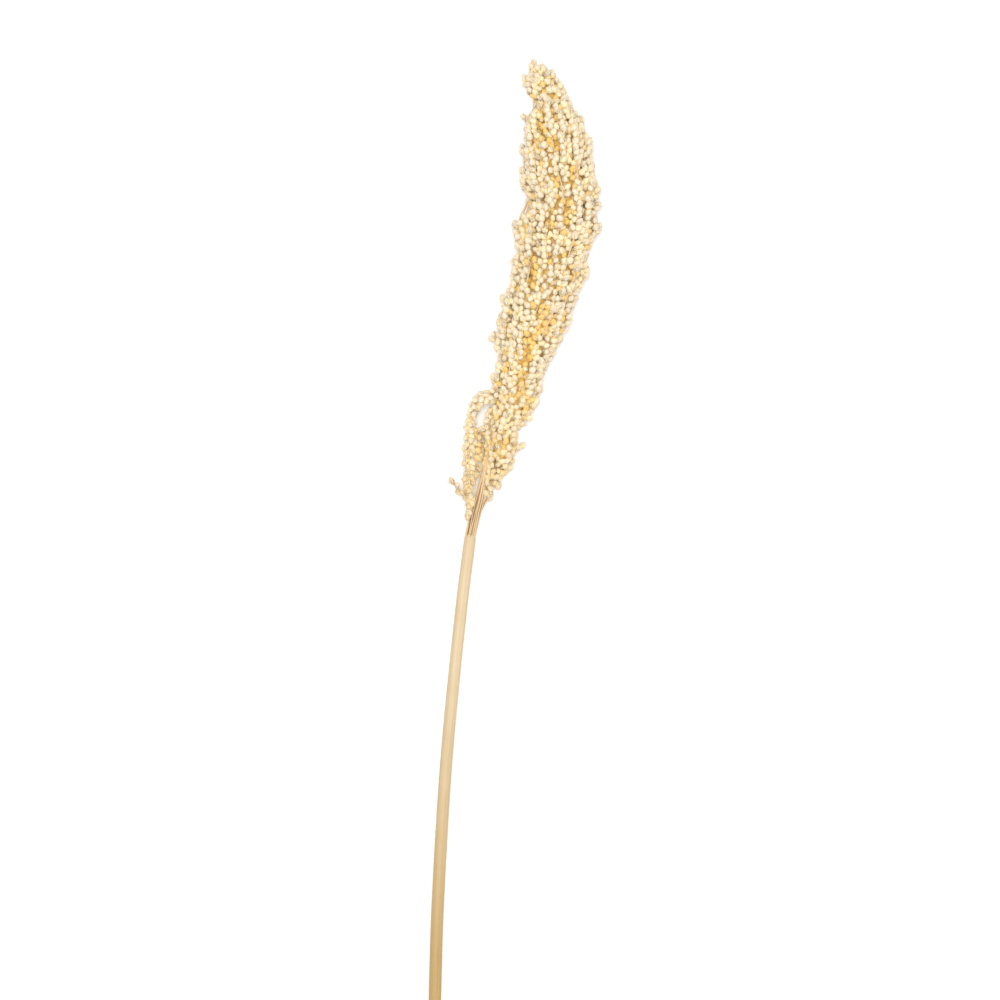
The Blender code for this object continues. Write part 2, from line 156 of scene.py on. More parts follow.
FURROW_SINK = 0.0012  # how far below the skin the furrows' lines are
# More furrows, set by chance at the head's sides and back: how many, where they start and how far
# they go, as shares of the head, and how wide they are.
OTHER_FURROWS = 44
OTHER_FURROW_STARTS = (0.10, 0.92)
OTHER_FURROW_SPANS = (0.01, 0.045)
OTHER_FURROW_WIDTHS = (0.0036, 0.0046)
OTHER_FURROW_OUT = 0.95  # of the way to the head's skin
TOP_SINE, EDGE_SINE = 0.55, 0.2  # of the turns that are the head's top and its outline

DEPTH_SHARE = 0.86  # the head's depth over its width
DEEPEST = 0.0220  # from the head's line to its upper skin
GOLDEN_ANGLE = math.pi * (3 - math.sqrt(5))
READINGS = 24  # of a smooth curve, from each of its points to the next

SPRAY_LENGTH = 0.055
SPRAY_STEPS = 16  # of a spray's stem
SPRAY_ENDS = (0.02, 0.985)  # the shares of the head that the climbing sprays keep between
LENGTH_SPREAD = (0.85, 1.20)  # the least and the most of the sprays' lengths, as shares of it
FULL_SPREAD = (0.95, 1.03)  # and of how far out they are
SPRAY_LOW, SPRAY_HIGH = 0.70, 1.02  # where a spray starts and ends, as shares of the way to the skin
ARCH_RADIUS = 0.0028  # of the ring of grains on the long spray that arches over
ARCH_LENGTH = 0.05  # only that spray is longer than this
GRAIN_STEP = 0.0008  # along a spray, from each place for a grain to the next
STEP_SPREAD = (0.7, 1.3)  # the least and the most of that step, as shares of it
RING_SPREAD = (0.5, 1.4)  # and of the grains' distance from the stem
SIZE_SPREAD = (0.85, 1.15)  # and of the grains' size
TIP_REACH = 0.001  # from the end of a stem to the middle of its last grain
TURNED_IN = -0.2  # grains that face further into the head than this are left out
# Grains between the sprays: how far out they sit, and how much what is above shades them.
FILL = ((0.70, 0.55), (0.78, 0.35), (0.85, 0.10))
FILL_TRIES = 12000
FILL_MARGIN = 0.0022  # this much beyond a furrow's width they still count as in it
GRAIN_PIECES = 6
GRAIN_SEEDS = (3, 5, 8, 13, 21)  # of the forms that the grains take in turn

# The core, inside the grains: how far out it is, what it keeps from the skin, and its ends.
CORE_SHARE = 0.64
CORE_INSET = 0.003
CORE_ENDS = (0.10, 0.96)
CORE_RINGS, CORE_SIDES = 70, 26

STALK_RINGS, STALK_SIDES = 160, 72
STALK_RADIUS = 0.0040
STALK_TOP_RADIUS = 0.0038
CUT_RADII = (0.97, 0.995)  # of the cut end's first rings, as shares of the cane's
TOP_RADII = (0.995, 0.98, 0.94, 0.84)  # of the last rings, under the branches
CUT_DISH = 0.0004  # how far the middle of the cut end is sunk
RACHIS_RADIUS = 0.0017
# The bare branches stand in rings: how many, how far out, their radius, and how deep in they are, which
# sets the painted shade they take.
BRANCH_RINGS = (
    (15, 0.0031, 0.00043, 0.0),
    (9, 0.0022, 0.00045, 0.7),
)
# How the rings widen and close up, by the share of the way up the head's main stem.
BRANCH_SPREAD = ((0.0, 0.12, 0.20, 0.34, 0.50, 1.0), (1.0, 1.10, 1.05, 0.45, 0.45, 2.2))
BRANCH_ROOT = -0.03  # they start this far down in the cane, as a share of the main stem
STEM_RADIUS = 0.00045
TWIG_RADIUS = 0.00022
SHORTEST_TWIG = 0.0006
GRAIN_FOOT = 0.0019  # from a grain's middle to its foot
OUTLOOK = 0.0072  # grains nearer than this shade each other
AHEAD = 0.45  # what shades a grain is before it: the least cosine from the way it points
FULL_SHADE = 2.4  # this much nearness, summed, shades a grain fully
CREASE_SHADE_REACH = 0.0009  # a grain's corners this near to the next take painted crease shade
LOW_TINT_BELOW = 0.105  # the grains are deeper in colour from this Y down to the foot
LOW_TINT_GAIN = 1.6  # how fast they get deeper
LOWEST = 0.00015  # nothing reaches nearer than this to the floor
GRAIN_CLEARANCE = 0.0022  # from the floor to a grain's middle

# The frame of the picture: how wide it is at the height of the head's middle, and what it is
# centred on.
PICTURE_WIDTH = 0.650
PICTURE_CENTRE = (-0.0104, 0.0195, 0.0180)
SENSOR_WIDTH = 36.0
# The lights: where they are, how wide, and their power as a share of the main one's.
LIGHTS = (
    ("key", (-0.07, 0.12, 2.30), 0.6, 1.0),
    ("right_fill", (0.95, -0.2, 1.5), 1.2, 0.34),
    ("left_fill", (-0.95, 0.4, 1.5), 1.2, 0.27),
)


class SorghumHeadSettings(bpy.types.PropertyGroup):
    """Sizes and colours of the grains and their sprays."""

    sprays: IntProperty(
        name="Sprays", description="Branches that climb the head", default=84, min=10, max=300
    )
    spray_radius: FloatProperty(
        name="Spray Radius", description="From a spray's middle to the middle of its grains",
        default=0.0018, unit="LENGTH", subtype="DISTANCE",
    )
    grain_radius: FloatProperty(
        name="Grain Radius", description="Half of a grain's width",
        default=0.0022, unit="LENGTH", subtype="DISTANCE",
    )
    grain_apart: FloatProperty(
        name="Grain Spacing", description="The least distance between two grains' middles",
        default=0.0031, unit="LENGTH", subtype="DISTANCE",
    )
    pale: FloatVectorProperty(
        name="Pale", description="Of the grains' faces on the outside of the head",
        default=(0.755, 0.65, 0.50), subtype="COLOR", size=3,
    )
    # Warm is the middle of the grains' painted shade, and also the tint of some grains at random and of
    # the chaff's mottles.
    warm: FloatVectorProperty(
        name="Warm", description="Of the grains a little way in",
        default=(0.87, 0.73, 0.46), subtype="COLOR", size=3,
    )
    # This colour is painted shade: the ochre of the furrows, of grains under others and of the core.
    shade_ochre: FloatVectorProperty(
        name="Deep", description="Of the grains at the bottom of the furrows",
        default=(0.77, 0.50, 0.125), subtype="COLOR", size=3,
    )
    low_tint: FloatVectorProperty(
        name="Low_Tint", description="Of the lowest grains",
        default=(0.62, 0.45, 0.22), subtype="COLOR", size=3,
    )
    # Rim is painted shade: the colour of the creases where grains touch and of each grain's foot among
    # the others.
    rim: FloatVectorProperty(
        name="Rim", description="Of the grains' sides, where they touch",
        default=(1.0, 0.76, 0.33), subtype="COLOR", size=3,
    )


class SorghumStalkSettings(bpy.types.PropertyGroup):
    """Sizes and colours of the cane and the bare branches."""

    fibres: IntProperty(
        name="Fibres", description="Fine ribs round the cane", default=34, min=6, max=120
    )
    fibre_height: FloatProperty(
        name="Fibre Height", description="How far the ribs stand out",
        default=0.00005, precision=5, unit="LENGTH", subtype="DISTANCE",
    )
    upper: FloatVectorProperty(
        name="Upper Colour", description="Of the cane under the head",
        default=(0.63, 0.51, 0.33), subtype="COLOR", size=3,
    )
    lower: FloatVectorProperty(
        name="Lower Colour", description="Of the cane at its cut end",
        default=(0.485, 0.335, 0.145), subtype="COLOR", size=3,
    )
    branch: FloatVectorProperty(
        name="Branch Colour", description="Of the bare branches at the foot of the head",
        default=(0.72, 0.56, 0.35), subtype="COLOR", size=3,
    )
    # This colour is painted shade on the branches and stems behind others and inside the head.
    inner: FloatVectorProperty(
        name="Inner Branch Colour", description="Of the branches behind the outer ones",
        default=(0.50, 0.29, 0.11), subtype="COLOR", size=3,
    )


class SorghumStageSettings(bpy.types.PropertyGroup):
    """The floor, the lights and the lens."""

    floor: FloatVectorProperty(
        name="Floor", description="The colour of the floor",
        default=(0.95, 0.95, 0.95), subtype="COLOR", size=3,
    )
    key_power: FloatProperty(
        name="Key Light", description="Power of the main light", default=30.6, min=0.0, unit="POWER"
    )
    sky: FloatProperty(
        name="Room Light", description="Strength of the light all round", default=0.45, min=0.0
    )
    lens: FloatProperty(
        name="Lens", description="Focal length", default=100.0, min=10.0, unit="CAMERA"
    )


class Line:
    """A smooth curve through points, read by the share of its length."""

    def __init__(self, points):
        points = np.array(points, float)
        padded = np.vstack((points[:1], points, points[-1:]))
        f = np.linspace(0.0, 1.0, READINGS, endpoint=False)[:, None]
        rows = []
        for a, b, c, d in zip(padded, padded[1:], padded[2:], padded[3:]):
            start = (c - a) / 2
            end = (d - b) / 2
            bend = 3 * (c - b) - 2 * start - end
            twist = 2 * (b - c) + start + end
            rows.append(b + f * (start + f * (bend + f * twist)))
        self.rows = np.vstack(rows + [points[-1:]])
        self.reach = lengths_along(self.rows[:, :3])
        self.length = self.reach[-1]

    def at(self, share):
        """The values at this share of the length."""
        want = share * self.length
        return np.array([np.interp(want, self.reach, column) for column in self.rows.T])

    def place(self, share):
        return self.at(share)[:3]

    def places(self, first, last, count):
        return np.array([self.place(s) for s in np.linspace(first, last, count + 1)])

    def sides(self, share):
        """The heading at this share, and unit vectors to its right and its upper side."""
        heading = unit(self.place(share + 0.02) - self.place(share - 0.02))
        right = unit(np.cross(heading, (0, 0, 1)))
        return heading, right, np.cross(right, heading)


def unit(vector):
    return vector / np.linalg.norm(vector)


def lengths_along(path):
    """How far along the path each of its points is."""
    steps = np.linalg.norm(np.diff(path, axis=0), axis=1)
    return np.concatenate(([0.0], np.cumsum(steps)))


class Head:
    """The head's outline, with places in it given by share, turn and distance out."""

    def __init__(self):
        self.line = Line(HEAD_LINE)

    def half(self, share):
        return self.line.at(share)[3]

    def height_at(self, y):
        """How high the head's own line is over this Y."""
        return np.interp(y, self.line.rows[:, 1], self.line.rows[:, 2])

    def spokes(self, share, turn):
        """The way out at this turn, as long as the head's half-width there."""
        half = self.half(share)
        right, up = self.line.sides(share)[1:]
        return half * math.cos(turn) * right + min(DEPTH_SHARE * half, DEEPEST) * math.sin(turn) * up

    def place(self, share, turn, out):
        return self.line.place(share) + out * self.spokes(share, turn)

    def skin_over(self, x, y):
        """The place of the upper skin at this X and Y."""
        rows = self.line.rows
        middle, height, half = (np.interp(y, rows[:, 1], rows[:, column]) for column in (0, 2, 3))
        across = min(abs(x - middle) / half, 1.0)
        depth = min(DEPTH_SHARE * half, DEEPEST)
        return np.array((x, y, height + depth * math.sqrt(1 - across * across)))

    def even_shares(self, count):
        """Shares of the line at the middles of count belts that have equal skins."""
        shares = np.linspace(0.0, 1.0, 400)
        skin = np.cumsum([self.half(s) for s in shares])
        return np.interp((np.arange(count) + 0.5) / count * skin[-1], skin, shares)


class Heap:
    """Collects closed shapes with marks on their corners, then makes one piece of them."""

    def __init__(self):
        self.corners, self.triangles, self.marks = [], [], {}
        self.count = 0

    def add(self, corners, triangles, **marks):
        self.corners.append(corners)
        self.triangles.append(triangles + self.count)
        for name, values in marks.items():
            self.marks.setdefault(name, []).append(np.broadcast_to(values, len(corners)))
        self.count += len(corners)

    def piece(self, name, material):
        corners = np.vstack(self.corners)
        corners[:, 2] = np.maximum(corners[:, 2], LOWEST)
        mesh = bpy.data.meshes.new(name)
        mesh.from_pydata(corners.tolist(), [], np.vstack(self.triangles).tolist())
        for mark, values in self.marks.items():
            layer = mesh.attributes.new(mark, "FLOAT", "POINT")
            layer.data.foreach_set("value", np.concatenate(values).astype(np.float32))
        mesh.shade_smooth()
        mesh.materials.append(material)
        obj = bpy.data.objects.new(name, mesh)
        bpy.context.scene.collection.objects.link(obj)
        return obj


def grid_triangles(rings, sides):
    """Triangles of a tube of rings, each of sides corners, closed by a corner at either end."""
    ring = np.arange(rings - 1)[:, None] * sides
    side = np.arange(sides)[None, :]
    following = (side + 1) % sides
    a, b = (ring + side).ravel(), (ring + following).ravel()
    c, d = a + sides, b + sides
    walls = np.vstack((np.column_stack((a, b, d)), np.column_stack((a, d, c))))
    first, last = rings * sides, rings * sides + 1
    side, following = side.ravel(), following.ravel()
    top = (rings - 1) * sides
    bottom_cap = np.column_stack((np.full(sides, first), following, side))
    top_cap = np.column_stack((np.full(sides, last), top + side, top + following))
    return np.vstack((walls, bottom_cap, top_cap))


def all_round(sides):
    return np.linspace(0, 2 * math.pi, sides, endpoint=False)


def ring_frames(path):
    """For each point of a path, two unit vectors across it that turn as little as they can."""
    headings = np.gradient(path, axis=0)
    headings /= np.linalg.norm(headings, axis=1)[:, None]
    no_heading = (0.31, 0.17, 0.94)  # a way that no path takes
    across = unit(np.cross(headings[0], no_heading))
    first, second = [], []
    for heading in headings:
        across = unit(across - heading * np.dot(across, heading))
        first.append(across)
        second.append(np.cross(heading, across))
    return np.array(first), np.array(second)


def rings_round(path, out, turns):
    """Corners round each point of a path, as far from it as out says."""
    first, second = ring_frames(path)
    return path[:, None, :] + out[:, :, None] * (
        np.cos(turns)[None, :, None] * first[:, None, :]
        + np.sin(turns)[None, :, None] * second[:, None, :]
    )


def add_rings(heap, rings, ends, reach, turns, **marks):
    """A closed tube of rings and two end corners, marked with its distance along and its turn round."""
    sides = len(turns)
    along = np.concatenate((np.repeat(reach, sides), reach[:1], reach[-1:]))
    around = np.concatenate((np.tile(turns, len(reach)), [0.0, 0.0]))
    corners = np.vstack((np.reshape(rings, (-1, 3)), ends))
    heap.add(corners, grid_triangles(len(reach), sides), along=along, around=around, **marks)


def add_tube(heap, path, radii, sides, **marks):
    """A closed round tube along path."""
    turns = all_round(sides)
    rings = rings_round(path, np.broadcast_to(radii, len(path))[:, None], turns)
    add_rings(heap, rings, (path[0], path[-1]), lengths_along(path), turns, **marks)


def linked(name, build):
    """A new material whose nodes build wires to its Principled shader."""
    material = bpy.data.materials.new(name)
    material.use_nodes = True
    build(Wiring(material.node_tree))
    return material


class Wiring:
    """Adds nodes to a material's tree and links them."""

    def __init__(self, tree):
        self.tree = tree
        self.shader = tree.nodes["Principled BSDF"]

    def add(self, kind, inputs=(), **settings):
        node = self.tree.nodes.new("ShaderNode" + kind)
        for name, value in settings.items():
            setattr(node, name, value)
        for name, value in dict(inputs).items():
            self.feed(node.inputs[name], value)
        return node

    def feed(self, socket, value):
        if isinstance(value, bpy.types.NodeSocket):
            self.tree.links.new(value, socket)
        elif hasattr(value, "__len__") and len(value) == 3 and socket.type == "RGBA":
            socket.default_value = (*value, 1.0)
        else:
            socket.default_value = value

    def mark(self, name):
        return self.add("Attribute", attribute_name=name).outputs["Fac"]

    def noise(self, where, scale, detail=2.0):
        inputs = {"Vector": where, "Scale": scale, "Detail": detail}
        return self.add("TexNoise", inputs).outputs["Fac"]

    def here(self):
        return self.add("TexCoord").outputs["Object"]

    def ramp(self, value, stops):
        """A colour for each value, from stops of (value, colour)."""
        node = self.add("ValToRGB", {"Fac": value})
        line = node.color_ramp.elements
        while len(line) < len(stops):
            line.new(0.5)
        for element, (place, colour) in zip(line, stops):
            element.position = place
            element.color = (*colour, 1.0)
        return node.outputs["Color"]

    def span(self, value, low, high, to_low, to_high):
        inputs = {"Value": value, "From Min": low, "From Max": high}
        inputs |= {"To Min": to_low, "To Max": to_high}
        return self.add("MapRange", inputs).outputs["Result"]

    def mix(self, share, first, second, way="MIX"):
        node = self.add("Mix", data_type="RGBA", blend_type=way)
        # Its sockets for colours come after those for numbers and vectors.
        self.feed(node.inputs[0], share)
        self.feed(node.inputs[6], first)
        self.feed(node.inputs[7], second)
        return node.outputs[2]

    def bump(self, height, distance, strength):
        inputs = {"Height": height, "Distance": distance, "Strength": strength}
        self.feed(self.shader.inputs["Normal"], self.add("Bump", inputs).outputs["Normal"])

    def finish(self, colour, roughness):
        self.feed(self.shader.inputs["Base Color"], colour)
        self.feed(self.shader.inputs["Roughness"], roughness)


def bleached_grain(look):
    """Cream grain, paler outside than in by painted shade, with straw-coloured chaff round its foot."""

    def build(w):
        here = w.here()
        # Painted shade: grains that others cover, and those in the furrows and the shaded sprays, go
        # from pale through warm to ochre.
        skin = w.ramp(w.mark("shade"), ((0.25, look.pale), (0.70, look.warm), (0.92, look.shade_ochre)))
        honey = w.mix(w.span(w.mark("tone"), 0.45, 1.0, 0.0, 0.25), skin, look.warm)
        # The grains turn towards this tint lower down the head, nearer its foot.
        low_tint = w.mix(w.span(w.mark("tone"), 0.8, 2.0, 0.0, 0.75), honey, look.low_tint)
        # Painted shade round each grain's foot, where it sits among the others.
        foot = w.mix(w.span(w.mark("height"), 0.10, 0.50, 0.45, 0.0), low_tint, look.rim)
        mottle = w.span(w.noise(here, 700.0), 0.40, 0.75, 0.0, 0.25)
        chaff = w.mix(w.mark("chaff"), w.mix(mottle, foot, look.warm), w.mix(0.5, foot, look.pale))
        # Painted shade in the creases where grains touch.
        crease_shaded = w.mix(w.span(w.mark("touch"), 0.25, 1.00, 0.0, 0.85), chaff, look.rim)
        w.finish(crease_shaded, w.span(w.noise(here, 500.0), 0.3, 0.7, 0.45, 0.65))
        w.bump(w.noise(here, 1400.0, 3.0), 0.00012, 0.35)
        w.shader.inputs["Subsurface Weight"].default_value = 0.40
        w.shader.inputs["Subsurface Radius"].default_value = (1.0, 0.85, 0.65)
        w.shader.inputs["Subsurface Scale"].default_value = 0.0012
        w.shader.inputs["Specular IOR Level"].default_value = 0.3

    return linked("bleached_grain", build)


def straw(name, stops, streak, inner=None):
    """Straw with lengthwise fibres; its colour changes with the distance along it, and turns to inner,
    if given, as painted shade by the inner mark.
    """

    def build(w):
        around, along = w.mark("around"), w.mark("along")
        across = w.add("Math", {0: around}, operation="COSINE").outputs[0]
        up = w.add("Math", {0: around}, operation="SINE").outputs[0]
        ring = w.add("CombineXYZ", {"X": across, "Y": up, "Z": along}).outputs[0]
        stretch = w.add("Mapping", {"Vector": ring, "Scale": (1.0, 1.0, 5.0)}).outputs[0]
        fibres = w.noise(stretch, streak, 4.0)
        plain = w.ramp(w.span(along, 0.0, stops[-1][0], 0.0, 1.0),
                       [(place / stops[-1][0], colour) for place, colour in stops])
        darker = w.mix(0.35, plain, (0.55, 0.30, 0.10), "MULTIPLY")
        blotch = w.span(w.noise(w.here(), 60.0, 3.0), 0.45, 0.75, 0.0, 0.35)
        colour = w.mix(w.span(fibres, 0.42, 0.72, 0.0, 0.6), plain, darker)
        mottled = w.mix(blotch, colour, darker)
        if inner:
            # Painted shade on what lies behind or inside others.
            mottled = w.mix(w.mark("inner"), mottled, inner)
        w.finish(mottled, w.span(fibres, 0.3, 0.7, 0.42, 0.60))
        w.bump(fibres, 0.0001, 0.5)
        w.shader.inputs["Specular IOR Level"].default_value = 0.2

    return linked(name, build)


class Spray:
    """A spray's stem, the ring round it that its grains sit on, and the way out of the head."""

    def __init__(self, axis, rings, shares=0.0, outwards=None):
        self.axis = np.array(axis)
        first, second = ring_frames(self.axis)
        count = len(self.axis)
        outwards = np.zeros((count, 3)) if outwards is None else np.array(outwards)
        numbers = np.column_stack((np.broadcast_to(rings, count), np.broadcast_to(shares, count)))
        self.rows = np.hstack((self.axis, first, second, outwards, numbers))
        self.reach = lengths_along(self.axis)

    def read(self, along):
        """The stem's place, two ways across it, the way out, the ring and the head's share."""
        row = np.array([np.interp(along, self.reach, column) for column in self.rows.T])
        return row[:3], row[3:6], row[6:9], row[9:12], row[12], row[13]


class GrainBed:
    """Where the grains sit, each kept clear of those set before it."""

    def __init__(self, head, apart, seed):
        self.head = head
        self.apart = apart
        self.draw = random.Random(seed)
        self.cells = {}
        self.places, self.pointings, self.shares = [], [], []
        self.feet, self.inner = [], []
        self.starts, self.spans, self.widths = self.furrows()

    def furrows(self):
        """The furrows' first ends, the ways to their other ends, and their widths."""
        rows = []
        for x, y, far_x, far_y, width in FURROWS:
            ends = [self.head.skin_over(*end) - (0, 0, FURROW_SINK) for end in ((x, y), (far_x, far_y))]
            rows.append((*ends, width))
        while len(rows) < len(FURROWS) + OTHER_FURROWS:
            share = self.draw.uniform(*OTHER_FURROW_STARTS)
            turn = self.draw.uniform(0, 2 * math.pi)
            span = self.draw.uniform(*OTHER_FURROW_SPANS)
            width = self.draw.uniform(*OTHER_FURROW_WIDTHS)
            if math.sin(turn) < TOP_SINE and abs(math.sin(turn)) > EDGE_SINE:
                far_turn = turn + self.draw.uniform(-0.2, 0.2)
                ends = (self.head.place(share, turn, OTHER_FURROW_OUT),
                        self.head.place(share + span, far_turn, OTHER_FURROW_OUT))
                rows.append((*ends, width))
        starts, ends, widths = (np.array(column) for column in zip(*rows))
        return starts, ends - starts, widths

    def in_furrow(self, place, beyond=0.0):
        away = place - self.starts
        t = np.clip((away * self.spans).sum(1) / (self.spans**2).sum(1), 0, 1)
        return (np.linalg.norm(away - t[:, None] * self.spans, axis=1) < self.widths + beyond).any()

    def set_grain(self, place, pointing, share, foot, inner=0.0, furrowed=True):
        """Sets a grain, whose little stalk comes from foot, unless another is too near."""
        place = np.array((place[0], place[1], max(place[2], GRAIN_CLEARANCE)))
        if any(math.hypot(place[0] - x, place[1] - y) < radius for x, y, radius in CLEARINGS):
            return
        if furrowed and self.in_furrow(place):
            return
        cell = tuple((place // self.apart).astype(int))
        near = range(-1, 2)
        for step in ((i, j, k) for i in near for j in near for k in near):
            for other in self.cells.get((cell[0] + step[0], cell[1] + step[1], cell[2] + step[2]), ()):
                away = place - other
                if away.dot(away) < self.apart * self.apart:
                    return
        self.cells.setdefault(cell, []).append(place)
        self.places.append(place)
        self.pointings.append(unit(pointing))
        self.shares.append(share)
        self.feet.append(foot)
        self.inner.append(inner)

    def clothe(self, spray, inner=0.0, furrowed=True):
        """Grains at a spray's tip and in a spiral round it, except where they would face inwards."""
        tip = spray.axis[-1]
        heading = unit(tip - spray.axis[-2])
        self.set_grain(tip + TIP_REACH * heading, heading, spray.rows[-1, -1], tip, inner, furrowed)
        along = 0.0
        turn = self.draw.uniform(0, 2 * math.pi)
        while along <= spray.reach[-1]:
            middle, first, second, outward, ring, share = spray.read(along)
            way = math.cos(turn) * first + math.sin(turn) * second
            if np.dot(way, outward) >= TURNED_IN * np.linalg.norm(outward):
                pointing = way + np.cross(first, second) + self.jitter(0.45)
                ring *= self.draw.uniform(*RING_SPREAD)
                self.set_grain(middle + ring * way, pointing, share, middle, inner, furrowed)
            along += GRAIN_STEP * self.draw.uniform(*STEP_SPREAD)
            turn += GOLDEN_ANGLE

    def jitter(self, size):
        return np.array([self.draw.uniform(-size, size) for _ in range(3)])

    def outlooks(self):
        """For each grain, the middles of those near it, and how much they shade it, 0 to 1."""
        tree = KDTree(len(self.places))
        for index, place in enumerate(self.places):
            tree.insert(place, index)
        tree.balance()
        near, shade = [], []
        for index, (place, pointing, inner) in enumerate(zip(self.places, self.pointings, self.inner)):
            found = [hit for hit in tree.find_range(place, OUTLOOK) if hit[1] != index]
            others = np.array([hit[0] for hit in found]).reshape(-1, 3)
            reach = np.array([hit[2] for hit in found])
            ahead = (others - place) @ pointing > AHEAD * reach
            near.append(others[reach < OUTLOOK - 0.001])
            shade.append(min(1.0, ((1 - reach / OUTLOOK) * ahead).sum() / FULL_SHADE + inner))
        return near, shade


def grain_template(seed):
    """One grain with its chaff, of radius 1: corners, triangles, height up the grain, and chaff."""
    draw = random.Random(seed)
    shape = bmesh.new()
    bmesh.ops.create_uvsphere(shape, u_segments=9, v_segments=7, radius=1.0)
    bmesh.ops.triangulate(shape, faces=shape.faces)
    ball = np.array([v.co for v in shape.verts])
    triangles = np.array([[v.index for v in f.verts] for f in shape.faces])
    shape.free()
    squeeze = draw.uniform(0.82, 0.95)
    lean = draw.uniform(-0.12, 0.12)
    parts = [(grain_form(ball, squeeze, lean), triangles, (ball[:, 2] + 1) / 2, np.zeros(len(ball)))]
    for middle in (draw.uniform(-0.4, 0.4), math.pi + draw.uniform(-0.4, 0.4)):
        top, flare = draw.uniform(0.10, 0.60), draw.uniform(1.05, 1.16)
        parts.append(chaff_scale(middle, squeeze, lean, top, flare))
    parts.append(chaff_sliver(draw.uniform(1.2, 1.9), draw.uniform(0.80, 1.25)))
    count = 0
    joined = []
    for part in parts:
        joined.append(part[1] + count)
        count += len(part[0])
    corners, _, heights, chaff = zip(*parts)
    return np.vstack(corners), np.vstack(joined), np.concatenate(heights), np.concatenate(chaff)


def grain_form(ball, squeeze, lean):
    """Makes a grain of a ball: full at its foot, drawn out to a pointed tip, flatter one way."""
    x, y, z = ball.T
    girth = 1.0 - 0.13 * z - 0.05 * z * z
    beak = 0.07 * np.clip((z - 0.8) / 0.2, 0, 1)
    return np.column_stack((x * girth + lean * z, y * girth * squeeze, 1.14 * z + beak))


def chaff_scale(middle, squeeze, lean, top, flare):
    """A pointed scale that clasps the grain's foot: a patch closed to one corner inside it."""
    rows = ((-0.92, 0.50, 1.04), (-0.50, 0.80, 1.09), (0.0, 0.60, 1.10))
    ball = []
    for height, half, swell in rows:
        girth = math.sqrt(1 - height * height)
        for turn in (-half, 0.0, half):
            grow = swell if turn == 0.0 else 1.02
            ball.append((grow * girth * math.cos(middle + turn), grow * girth * math.sin(middle + turn),
                         height))
    girth = flare * math.sqrt(1 - top * top)
    ball.append((girth * math.cos(middle), girth * math.sin(middle), top))
    ball.append((0.5 * math.cos(middle), 0.5 * math.sin(middle), -0.4))
    corners = grain_form(np.array(ball), squeeze, lean)
    outside = [(0, 1, 4), (0, 4, 3), (1, 2, 5), (1, 5, 4), (3, 4, 7), (3, 7, 6), (4, 5, 8), (4, 8, 7),
               (6, 7, 9), (7, 8, 9)]
    rim = (0, 3, 6, 9, 8, 5, 2, 1)
    inside = [(a, b, 10) for a, b in zip(rim, rim[1:] + rim[:1])]
    heights = np.full(len(corners), 0.40)
    heights[:3] = 0.15
    heights[9] = 0.75
    return corners, np.array(outside + inside), heights, np.ones(len(corners))


def chaff_sliver(turn, top):
    """The narrow empty husk beside a grain, pointed at both ends."""
    way = np.array((math.cos(turn), math.sin(turn), 0.0))
    beside = np.array((-math.sin(turn), math.cos(turn), 0.0))
    up = np.array((0.0, 0.0, 1.0))
    corners = [0.75 * way - 0.9 * up]
    for height, out, half in ((-0.1, 1.12, 0.22), (0.55 * top, 1.18, 0.20)):
        middle = out * way + height * up
        corners += [middle + half * beside, middle + 0.10 * way,
                    middle - half * beside, middle - 0.08 * way]
    corners.append(1.08 * way + top * up)
    triangles = []
    for side in range(4):
        a, b = 1 + side, 1 + (side + 1) % 4
        triangles += [(0, b, a), (a, b, b + 4), (a, b + 4, a + 4), (a + 4, b + 4, 9)]
    heights = np.array([0.1] + [0.5] * 4 + [0.8] * 4 + [0.9])
    return np.array(corners), np.array(triangles), heights, np.ones(10)


def make_grain_pieces(bed, look, material):
    """The grains as meshes, in pieces from the foot of the head to its tip."""
    draw = np.random.default_rng(11)
    order = np.argsort(bed.shares, kind="stable")
    templates = [grain_template(seed) for seed in GRAIN_SEEDS]
    near, shade = bed.outlooks()
    for number, chosen in enumerate(np.array_split(order, GRAIN_PIECES)):
        heap = Heap()
        for index in chosen:
            corners, triangles, heights, chaff = templates[index % len(templates)]
            z = bed.pointings[index]
            across = unit(np.cross(z, (0.37, 0.61, 0.70)))
            spin = draw.uniform(0, 2 * math.pi)
            x = math.cos(spin) * across + math.sin(spin) * np.cross(z, across)
            turned = np.column_stack((x, np.cross(z, x), z))
            size = look.grain_radius * draw.uniform(*SIZE_SPREAD)
            corners = bed.places[index] + size * corners @ turned.T
            # How near each corner comes to the next grain: the nearest, in the creases, take painted
            # shade.
            away = np.linalg.norm(corners[:, None, :] - near[index][None, :, :], axis=2)
            gap = away.min(axis=1, initial=1.0) - 0.95 * look.grain_radius
            heap.add(
                corners,
                triangles,
                shade=shade[index],
                touch=np.clip(1 - gap / CREASE_SHADE_REACH, 0, 1),
                tone=draw.uniform() + LOW_TINT_GAIN * max(1 - bed.places[index][1] / LOW_TINT_BELOW, 0.0),
                height=heights,
                chaff=chaff,
            )
        piece = heap.piece(f"grains_{number + 1}", material)
        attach(piece, "root")
        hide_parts("seed_head")


